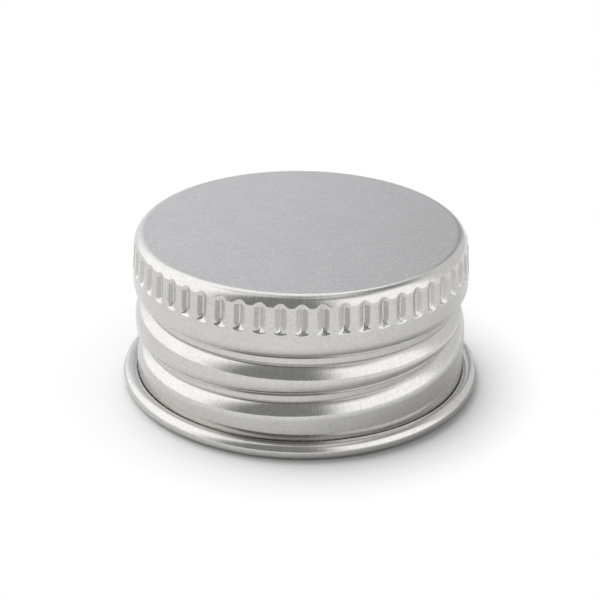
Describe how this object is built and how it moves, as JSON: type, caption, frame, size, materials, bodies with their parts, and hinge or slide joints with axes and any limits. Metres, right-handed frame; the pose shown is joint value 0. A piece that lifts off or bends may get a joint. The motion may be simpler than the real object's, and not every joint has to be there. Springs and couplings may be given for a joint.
{
  "type": "screw bottle cap",
  "caption": "Shallow round aluminium screw cap with a knurled band, a rolled ring groove, a right-hand thread groove and a curled mouth edge, which closes a bottle neck.",
  "frame": {"origin": "centre of the mouth, on the surface that the curled edge stands on", "axes": "+Z along the cap's axis from the mouth to the top panel; -Y towards the front of the picture"},
  "size_m": [0.0412, 0.0412, 0.0184],
  "materials": {
    "aluminium_sheet": "satin"
  },
  "bodies": {
    "root": {"cap_shell": "aluminium_sheet"}
  },
  "joints": []
}
